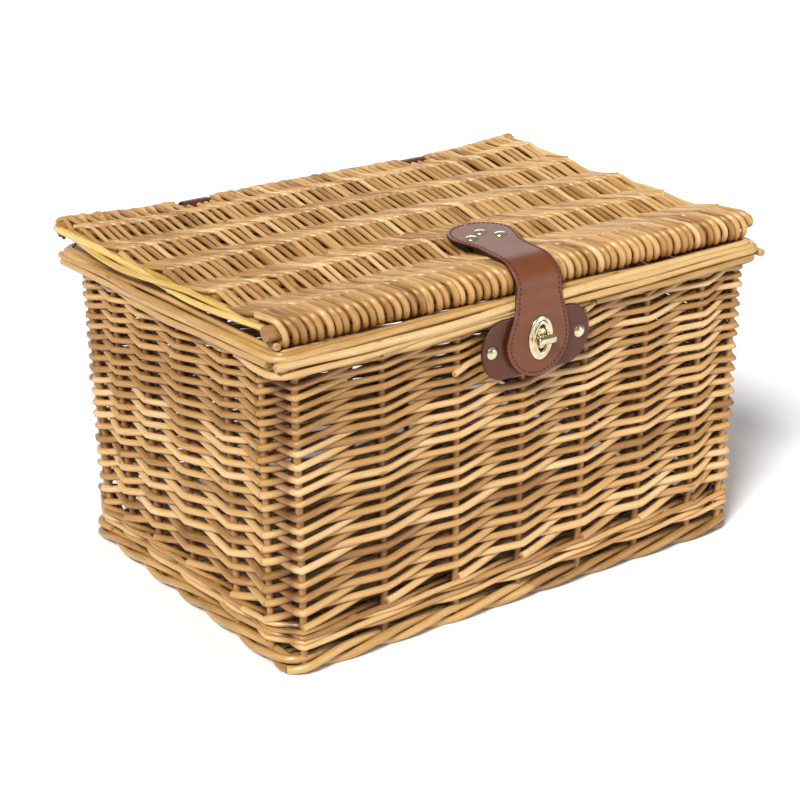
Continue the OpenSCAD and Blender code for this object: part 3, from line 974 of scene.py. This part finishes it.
def make_lid_sticks():
    rng = np.random.default_rng(81)
    rods = Rods(14)
    x = np.linspace(STICK_LOW[0], STICK_HIGH[0], 70)
    rods.add(np.column_stack([x, np.full(70, FRONT_Y), AXIS_Z + dome(x, FRONT_Y)]), FRONT_R - 0.1, 0.5)
    x = np.linspace(BACK_LOW[0], BACK_HIGH[0], 70)
    q = np.column_stack([back_corner(x, BACK_Y), np.full(70, BACK_Y), AXIS_Z + dome(x, BACK_Y)])
    rods.add(q, BACK_R - 0.05, 0.5, start=300)
    for c, y in enumerate(CROSS_Y):
        x = np.linspace(CROSS_LOW[0] - 1, CROSS_HIGH[0] + 1, 60)
        rods.add(
            np.column_stack([back_corner(x, y), np.full(60, y), AXIS_Z + dome(x, y)]),
            CROSS_R - 0.2, rng.uniform(0.4, 0.7), start=rng.uniform(0, 900),
        )
    nodes = ["lid_cross_sticks", "lid_front_stick", "lid_back_stick"]
    rods.piece("lid_stick_rods", STAKE, "lid", "willow_stake", nodes)


def make_lid_edges():
    """Two gold rods twisted loosely round one another along each side, with a thin one under them."""
    rng = np.random.default_rng(91)
    n = 90
    t = np.linspace(0, 1, n)
    for s, name in ((-1, "left"), (1, "right")):
        rods = Rods(12)
        bow = np.sin(t * math.pi)
        for k, (phase, r) in enumerate(((0.25, 2.5), (0.25 + math.pi, 2.2))):
            th = phase + t * TAU * 1.1
            ease = 0.35 + 0.65 * bow
            x = LID_HALF - 2.2 + 3.2 * bow + 2.6 * ease * np.cos(th) + wobble(rng, n, 14, 0.4)
            z = AXIS_Z - 1.8 * bow + 2.7 * ease * np.sin(th) + wobble(rng, n, 14, 0.3)
            y = np.linspace(BACK_Y + 5 - 3 * k, FRONT_Y - 3 + 4 * k, n)
            z += dome(s * x, y) * 0.8
            q = np.column_stack([back_corner(s * x, y), y, z])
            rods.add(q, r * (1.05 - 0.3 * t), rng.uniform(0.4, 0.8), start=rng.uniform(0, 900))
        y = np.linspace(BACK_Y - 4, FRONT_Y + 12, n)
        x = LID_HALF - 6.5 + 1.5 * bow
        q = np.column_stack([back_corner(s * x, y), y, AXIS_Z - 1.0 + dome(s * x, y)])
        rods.add(q, 1.9, 0.4, start=40)
        rods.piece(f"lid_edge_rods_{name}", YELLOW, "lid", "willow_gold", [f"lid_edge_{name}"])


# ---------------------------------------------------------------- leather


def sheet(name, grid_out, grid_in, mat):
    """A thick sheet from two matching grids, rows x columns x 3 in mm, with a rounded dark edge."""
    rows, cols = grid_out.shape[:2]
    mid = (grid_out + grid_in) / 2
    bm = bmesh.new()
    top, bot = ([ring_verts(bm, row) for row in grid] for grid in (grid_out, grid_in))
    for i in range(rows - 1):
        for j in range(cols - 1):
            bm.faces.new((top[i][j], top[i][j + 1], top[i + 1][j + 1], top[i + 1][j]))
            bm.faces.new((bot[i][j], bot[i + 1][j], bot[i + 1][j + 1], bot[i][j + 1]))
    ring = [(0, j) for j in range(cols)] + [(i, cols - 1) for i in range(1, rows)]
    ring += [(rows - 1, j) for j in range(cols - 2, -1, -1)] + [(i, 0) for i in range(rows - 2, 0, -1)]
    mids = []
    for i, j in ring:
        ii, jj = min(max(i, 1), rows - 2), min(max(j, 1), cols - 2)
        o = mid[i, j] - mid[ii, jj]
        o = o / (np.linalg.norm(o) + 1e-9) * 0.35
        mids.append(bm.verts.new((mid[i, j] + o) * MM))
    for a, (i, j) in enumerate(ring):
        b = (a + 1) % len(ring)
        ib, jb = ring[b]
        bm.faces.new((top[i][j], mids[a], mids[b], top[ib][jb]))
        bm.faces.new((mids[a], bot[i][j], bot[ib][jb], mids[b]))
    bm.verts.index_update()
    outermost = [v.index for v in mids]
    me = mesh_from(bm, name)
    dark = np.zeros(len(me.vertices), np.float32)
    for i, j in ring:
        dark[[i * cols + j, rows * cols + i * cols + j]] = 0.9
    dark[outermost] = 1.0
    me.attributes.new("edge", "FLOAT", "POINT").data.foreach_set("value", dark)
    return shown(name, me, mat)


LEATHER_T = 2.2
LOCK = np.array([(KNOB_LOW[0] + KNOB_HIGH[0]) / 2, EYELET_LOW[1], (KNOB_LOW[2] + KNOB_HIGH[2]) / 2])
FLAP_FRONT = EYELET_HIGH[1]
FLAP_BACK = FLAP_FRONT + LEATHER_T
STRAP_R = FRONT_Y - JOINTS["strap_fold"][1]
LID_END_R, LOCK_END_R = 25.0, 25.3
STRAP_HALF = 18.0
# how far the leather lies above the strap's place in the CAD
STRAP_RISE = 0.8


class Strap:
    """The strap as one sheet: its side view is a line of (y, z), its outline two edges along it."""

    def __init__(self):
        top = AXIS_Z + STRAP_R + STRAP_RISE
        bend_y, fall, reach = FRONT_Y + 4.0, 17.0, 20.0
        knee_y = (FLAP_FRONT + FLAP_BACK) / 2
        pts = [(y, top) for y in np.linspace(TOP_HIGH[1] - 2.0, bend_y, 30)]
        for a in np.linspace(0.06, math.pi / 2, 26):
            pts.append((bend_y - reach * math.sin(a), top - (fall + STRAP_RISE) * (1 - math.cos(a))))
        y0, z0 = pts[-1]
        for t in np.linspace(0.06, 1, 18):
            pts.append((y0 + (knee_y - y0) * smooth(t), z0 - 19.0 * t))
        z1 = pts[-1][1]
        for z in np.linspace(z1 - 1.5, FLAP_LOW[2] - 0.8, 30):
            pts.append((knee_y, z))
        self.line = np.array(pts)
        self.dist = run_length(self.line)
        self.total = self.dist[-1]
        d = np.gradient(self.line, axis=0)
        d /= np.linalg.norm(d, axis=1)[:, None]
        self.normal = np.column_stack([d[:, 1], -d[:, 0]])
        self.normal[:2] = (0.0, 1.0)

    def place(self, x, d, out):
        """The point at sideways place x, distance d along the strap and height out above its middle."""
        y, z, ny, nz = (
            np.interp(d, self.dist, c)
            for c in (self.line[:, 0], self.line[:, 1], self.normal[:, 0], self.normal[:, 1])
        )
        return np.array([x, y + ny * out, z + nz * out])

    def edges(self, d, inset=0.0):
        """Left and right edge at distance d, moved inwards by the inset."""
        fold = smooth(d / 84.0)
        low = smooth((d - 96.0) / 30.0)
        centre = 7.2 * (1 - fold) - 2.4 * fold
        centre = centre * (1 - low) + (LOCK[0] - 1.3) * low
        half = STRAP_HALF + (LID_END_R - STRAP_HALF) * (1 - smooth((d - LID_END_R * 0.9) / 30.0))
        from_end = self.total - d
        bulb = 1 - smooth((from_end - LOCK_END_R * 0.9) / 26.0)
        left = half + (LOCK_END_R - STRAP_HALF) * bulb
        slow_bulb = 1 - smooth((from_end - LOCK_END_R * 0.9) / 40.0)
        right = half + (LOCK_END_R - STRAP_HALF) * slow_bulb
        left, right = left - inset, right - inset
        for r, e in ((LID_END_R, d), (LOCK_END_R, from_end)):
            if e < r:
                cap = math.sqrt(max(0.0, (r - inset) ** 2 - (r - e) ** 2))
                left, right = min(left, cap), min(right, cap)
        return centre - left, centre + right


def make_strap():
    strap = Strap()
    n_end = 14
    a = (1 - np.cos(np.linspace(0.05, math.pi / 2, n_end)))
    ds = np.concatenate([
        LID_END_R * a, np.linspace(LID_END_R + 1.2, strap.total - LOCK_END_R - 1.2, 84),
        (strap.total - LOCK_END_R * a)[::-1],
    ])
    cols = 17
    u = (1 - np.cos(np.linspace(0, math.pi, cols))) / 2
    half = LEATHER_T / 2
    outer = np.zeros((len(ds), cols, 3))
    inner = np.zeros_like(outer)
    for i, d in enumerate(ds):
        left, right = strap.edges(d)
        for j, t in enumerate(u):
            x = left + (right - left) * t
            near = min(x - left, right - x, d, strap.total - d)
            roll = 0.5 * math.exp(-near / 0.7) - 0.10 * math.exp(-((near - 1.7) / 0.6) ** 2)
            outer[i, j] = strap.place(x, d, half - roll)
            inner[i, j] = strap.place(x, d, -half + roll)
    ob = sheet("strap_leather", outer, inner, LEATHER)
    cut_slot(ob)
    fold = JOINTS["strap_fold"] * MM
    start = Vector((0, fold[1], fold[2] + 0.004))
    end = Vector((0, fold[1] - 0.003, fold[2] - 0.007))
    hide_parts("strap_top", "strap_flap")
    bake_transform(ob)
    # a running stitch all round, a little in from the edge
    inset = 2.5
    route = []
    sides = np.concatenate([
        np.linspace(inset + 0.02, LID_END_R, 60),
        np.arange(LID_END_R + 1, strap.total - LOCK_END_R, 1.0),
        np.linspace(strap.total - LOCK_END_R, strap.total - inset - 0.02, 60),
    ])
    for d in sides:
        route.append(strap.place(strap.edges(d, inset)[0], d, half + 0.02))
    for d in sides[::-1]:
        route.append(strap.place(strap.edges(d, inset)[1], d, half + 0.02))
    route = np.array(route)
    seg = run_length(route)
    rods = Rods(6)
    step, long = 3.2, 2.2
    for s0 in np.arange(0, seg[-1] - long, step):
        at = np.linspace(s0, s0 + long, 5)
        p = np.column_stack([np.interp(at, seg, route[:, c]) for c in range(3)])
        rods.add(p, np.array([0.18, 0.46, 0.52, 0.46, 0.18]), 0.5)
    rods.piece("strap_stitches", THREAD, None, "leather", blend=(start, end))


def cutter(name, pts, y0, y1):
    """A straight prism along y from an outline in x and z, in mm."""
    bm = bmesh.new()
    a, b = (ring_verts(bm, [(x, y, z) for x, z in pts]) for y in (y0, y1))
    n = len(pts)
    bm.faces.new(a)
    bm.faces.new(b[::-1])
    for i in range(n):
        j = (i + 1) % n
        bm.faces.new((a[j], a[i], b[i], b[j]))
    return linked(name, mesh_from(bm, name))


def stadium(cx, cz, half_w, half_h, n=24):
    """An upright slot outline."""
    r = half_w
    pts = []
    for a in np.linspace(0, math.pi, n):
        pts.append((cx + r * math.cos(a), cz + (half_h - r) + r * math.sin(a)))
    for a in np.linspace(math.pi, TAU, n):
        pts.append((cx + r * math.cos(a), cz - (half_h - r) + r * math.sin(a)))
    return pts


def cut_slot(ob):
    c = cutter("slot_cutter", stadium(LOCK[0], LOCK[2], 4.2, 8.4), FLAP_FRONT - 6, FLAP_BACK + 6)
    mod = ob.modifiers.new("slot", "BOOLEAN")
    mod.operation = "DIFFERENCE"
    mod.solver = "EXACT"
    mod.object = c
    bpy.context.view_layer.update()
    dg = bpy.context.evaluated_depsgraph_get()
    new = bpy.data.meshes.new_from_object(ob.evaluated_get(dg))
    ob.modifiers.clear()
    old = ob.data
    ob.data = new
    new.name = ob.name
    bpy.data.meshes.remove(old)
    bpy.data.objects.remove(c)


def make_plate():
    """The leather plate behind the lock, curling slightly with the rods under it."""
    cx, cz = (PLATE_LOW[0] + PLATE_HIGH[0]) / 2, (PLATE_LOW[2] + PLATE_HIGH[2]) / 2
    hw, hh = (PLATE_HIGH[0] - PLATE_LOW[0]) / 2, (PLATE_HIGH[2] - PLATE_LOW[2]) / 2
    rows, cols = 49, 15
    outer = np.zeros((rows, cols, 3))
    inner = np.zeros_like(outer)
    us = (1 - np.cos(np.linspace(0, math.pi, rows))) / 2
    for i, u in enumerate(us):
        x = -hw + 2 * hw * u
        over = max(0.0, abs(x) - (hw - hh * 0.9))
        h = hh * math.sqrt(max(0.0004, 1 - (over / (hh * 0.9)) ** 2))
        for j, v in enumerate((1 - np.cos(np.linspace(0, math.pi, cols))) / 2):
            z = -h + 2 * h * v
            near = min(h - abs(z), hw - abs(x))
            roll = 0.4 * math.exp(-near / 0.8)
            wave = 0.25 * math.sin(x * 0.11) * math.cos(z * 0.1)
            y0, y1 = PLATE_LOW[1] + roll, PLATE_HIGH[1] - roll
            outer[i, j] = (cx + x, y0 + wave, cz + z)
            inner[i, j] = (cx + x, y1 + wave, cz + z)
    ob = sheet("lock_plate_leather", outer, inner, LEATHER_DARK)
    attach(ob, "basket")
    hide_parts("lock_leather")


def make_hinges():
    for name, x in zip(("left", "right"), HINGE_X):
        lo, hi = box_mm(f"hinge_{name}")
        r = BACK_R + 1.45
        mid_t = 0.95
        line = []
        for a in np.linspace(math.radians(-95), math.radians(215), 36):
            turn = a + math.pi / 2
            line.append((BACK_Y + r * math.cos(turn), AXIS_Z + r * math.sin(turn)))
        line = line[::-1]
        back = hi[1] - mid_t
        under = AXIS_Z - r
        tail = [(BACK_Y + 5, under - 1.4), (back - 3.5, under - 2.2), (back, under - 5.0)]
        for z in np.linspace(under - 9, lo[2], 10):
            tail.append((back, z))
        line = np.array(line + tail)
        d = np.gradient(line, axis=0)
        d /= np.linalg.norm(d, axis=1)[:, None]
        nor = np.column_stack([d[:, 1], -d[:, 0]])
        cols = 9
        outer = np.zeros((len(line), cols, 3))
        inner = np.zeros_like(outer)
        half_w = (hi[0] - lo[0]) / 2
        for j, u in enumerate((1 - np.cos(np.linspace(0, math.pi, cols))) / 2):
            xx = x - half_w + 2 * half_w * u
            roll = 0.3 * math.exp(-min(u, 1 - u) * 2 * half_w / 0.8)
            for g, sgn in ((outer, 1), (inner, -1)):
                g[:, j, 0] = xx
                g[:, j, 1] = line[:, 0] + nor[:, 0] * sgn * (0.85 - roll)
                g[:, j, 2] = line[:, 1] + nor[:, 1] * sgn * (0.85 - roll)
        ob = sheet(f"hinge_leather_{name}", outer, inner, LEATHER_DARK)
        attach(ob, "basket")
        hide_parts(f"hinge_{name}")


# ---------------------------------------------------------------- brass


def make_eyelet():
    """A raised oval ring round the slot. The profile's points are (inwards, forwards) in mm."""
    half_w, half_h = (EYELET_HIGH[0] - EYELET_LOW[0]) / 2, (EYELET_HIGH[2] - EYELET_LOW[2]) / 2
    depth = EYELET_HIGH[1] - EYELET_LOW[1]
    profile = [
        (0, 0), (0, 0.5), (0.25, 0.9), (0.8, 1.15), (2.0, 1.25), (2.5, 1.2), (2.8, 1.45),
        (3.1, depth - 0.35), (3.6, depth), (5.0, depth), (5.5, depth - 0.3), (5.75, 0.9), (5.75, 0),
    ]
    n, m = 72, len(profile)
    bm = bmesh.new()
    rings = []
    for a in np.arange(n) / n * TAU:
        rings.append(ring_verts(bm, [
            (
                LOCK[0] + (half_w - inwards) * math.cos(a),
                FLAP_FRONT - forwards,
                LOCK[2] + (half_h - inwards) * math.sin(a),
            )
            for inwards, forwards in profile
        ]))
    for i in range(n):
        a, b = rings[i], rings[(i + 1) % n]
        for j in range(m):
            after = (j + 1) % m
            bm.faces.new((a[j], a[after], b[after], b[j]))
    ob = shown("eyelet_plate", mesh_from(bm, "eyelet_plate"), BRASS)
    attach(ob, "strap")
    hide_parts("strap_eyelet")


def make_lock_base():
    """The fixed part of the lock: a thin oval foot and a rounded boss through the strap's slot."""
    lo, hi = box_mm("lock_base")
    foot = hi[1] - 1.2
    half_w, half_h = (hi[0] - lo[0]) / 2, (hi[2] - lo[2]) / 2
    layers = [
        (half_w, half_h, hi[1]), (half_w, half_h, foot + 0.3), (half_w - 0.3, half_h - 0.3, foot),
        (3.35, 7.3, foot - 0.02), (3.2, 7.15, lo[1] + 1.3), (2.7, 6.7, lo[1] + 0.5),
        (1.9, 5.9, lo[1] + 0.25),
    ]
    bm = bmesh.new()
    tube(bm, [
        ring_verts(bm, [(x, y, z) for x, z in stadium(LOCK[0], LOCK[2], w, h)])
        for w, h, y in layers
    ])
    ob = shown("lock_boss", mesh_from(bm, "lock_boss"), BRASS)
    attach(ob, "basket")
    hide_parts("lock_base")


RIVET_PLACES = ((-1.0, -0.3), (0.15, 0.75), (0.85, -0.75))


def make_strap_rivets():
    """Three low domed rivet heads on the strap's lid end. The profile's points are (radius, height)."""
    lo, hi = box_mm("strap_rivets")
    mid = (lo + hi) / 2
    top = TOP_HIGH[2] + STRAP_RISE
    profile = [(0.02, 1.9), (1.2, 1.84), (2.4, 1.62), (3.5, 1.2), (4.3, 0.72), (4.8, 0.2), (5.0, -0.6)]
    bm = bmesh.new()
    for px, py in RIVET_PLACES:
        cx, cy = mid[0] + 2.0 + px * 11.5, mid[1] - 2.6 + py * 7.5
        tube(bm, [
            ring_verts(bm, [(cx + x, cy + y, top - 0.2 + up) for x, y in circle(radius, 40)])
            for radius, up in profile
        ])
    ob = shown("strap_rivet_heads", mesh_from(bm, "strap_rivet_heads"), BRASS)
    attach(ob, "lid")
    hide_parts("strap_rivets")


def make_turn_bar():
    """The ribbed cross bar and its neck."""
    r = (KNOB_HIGH[2] - KNOB_LOW[2]) / 2 + 0.15
    half = (KNOB_HIGH[0] - KNOB_LOW[0]) / 2
    cy = JOINTS["lock_turn"][1]
    left = [(-half, 0.01), (-half, r * 0.62), (-half + 0.35, r * 0.86), (-half + 1.0, r)]
    ribs = [
        (x, r * (1.0 - 0.07 * (0.5 + 0.5 * math.cos((x + half) / 1.15 * math.pi))))
        for x in np.linspace(-half + 1.3, half - 1.3, 40)
    ]
    right = [(-x, radius) for x, radius in reversed(left)]
    bm = bmesh.new()
    tube(bm, [
        ring_verts(bm, [(LOCK[0] + x, cy + u, LOCK[2] + v) for u, v in circle(radius, 40)])
        for x, radius in left + ribs + right
    ])
    neck = ((cy + r * 0.6, 1.9), (cy + r + 0.4, 1.9), (cy + r + 0.6, 1.45), (KNOB_HIGH[1], 1.45))
    tube(bm, [
        ring_verts(bm, [(LOCK[0] + u, y, LOCK[2] + v) for u, v in circle(radius, 24)])
        for y, radius in neck
    ])
    ob = shown("turn_bar", mesh_from(bm, "turn_bar"), BRASS)
    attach(ob, "knob")
    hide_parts("lock_knob")


# ---------------------------------------------------------------- build

make_stakes()
make_weave()
make_rim()
make_foot()
make_wale()
make_base()
make_lid_weave()
make_lid_sticks()
make_lid_edges()
make_strap()
make_plate()
make_hinges()
make_eyelet()
make_turn_bar()
make_strap_rivets()
make_lock_base()
for s in frame["nodes"]["lock_rivets"].material_slots:
    s.material = BRASS

# ---------------------------------------------------------------- stage, light and camera


def make_floor():
    me = bpy.data.meshes.new("floor")
    reach = 6.0
    corners = [(-reach, -reach, 0), (reach, -reach, 0), (reach, reach, 0), (-reach, reach, 0)]
    me.from_pydata(corners, [], [(0, 1, 2, 3)])
    floor = linked("floor", me)
    m, t, b = material("floor_pale")
    n = node(t, "ShaderNodeTexNoise", Scale=3.0, Detail=2.0)
    pale = ramp(t, n.outputs["Fac"], [(0.0, (0.90, 0.90, 0.90)), (1.0, (0.93, 0.93, 0.93))])
    t.links.new(pale, b.inputs["Base Color"])
    b.inputs["Roughness"].default_value = 0.9
    me.materials.append(m)


def area(name, at, target, size, power):
    data = bpy.data.lights.new(name, "AREA")
    data.shape = "RECTANGLE"
    data.size, data.size_y = size
    data.energy = power
    ob = linked(name, data)
    ob.location = at
    ob.rotation_euler = (Vector(target) - Vector(at)).to_track_quat("-Z", "Y").to_euler()


def make_lights():
    """A white sky, a soft sun from the front left and two large weak lights on the right."""
    world = bpy.data.worlds.new("studio")
    world.use_nodes = True
    sky = world.node_tree.nodes["Background"]
    sky.inputs["Color"].default_value = (1, 1, 1, 1)
    sky.inputs["Strength"].default_value = 0.29
    bpy.context.scene.world = world
    data = bpy.data.lights.new("key_sun", "SUN")
    data.energy = 3.95
    data.angle = math.radians(16)
    sun = linked("key_sun", data)
    sun.rotation_euler = Vector((-0.80, -0.52, 0.92)).to_track_quat("Z", "Y").to_euler()
    area("front", (1.25, -2.2, 0.75), (0, 0, 0.12), (0.9, 0.9), 13)
    area("behind", (1.25, 1.9, 1.05), (0, 0, 0.2), (1.5, 1.0), 8)


def make_camera():
    az, el, roll = (math.radians(a) for a in (-35.12, 21.53, -0.54))
    distance = 1.38469
    target = np.array([-9.55, MID_Y, 103.3]) * MM
    back = Vector((math.sin(az) * math.cos(el), -math.cos(az) * math.cos(el), math.sin(el)))
    data = bpy.data.cameras.new("camera")
    data.lens = 87.7
    data.sensor_width = 36
    data.clip_start, data.clip_end = 0.05, 50
    cam = linked("camera", data)
    cam.rotation_mode = "QUATERNION"
    cam.location = Vector(target) + back * distance
    facing = (-back).to_track_quat("-Z", "Y")
    cam.rotation_quaternion = facing @ Matrix.Rotation(roll, 4, "Z").to_quaternion()
    bpy.context.scene.camera = cam


make_floor()
make_lights()
make_camera()
bpy.context.scene.view_settings.view_transform = "Standard"
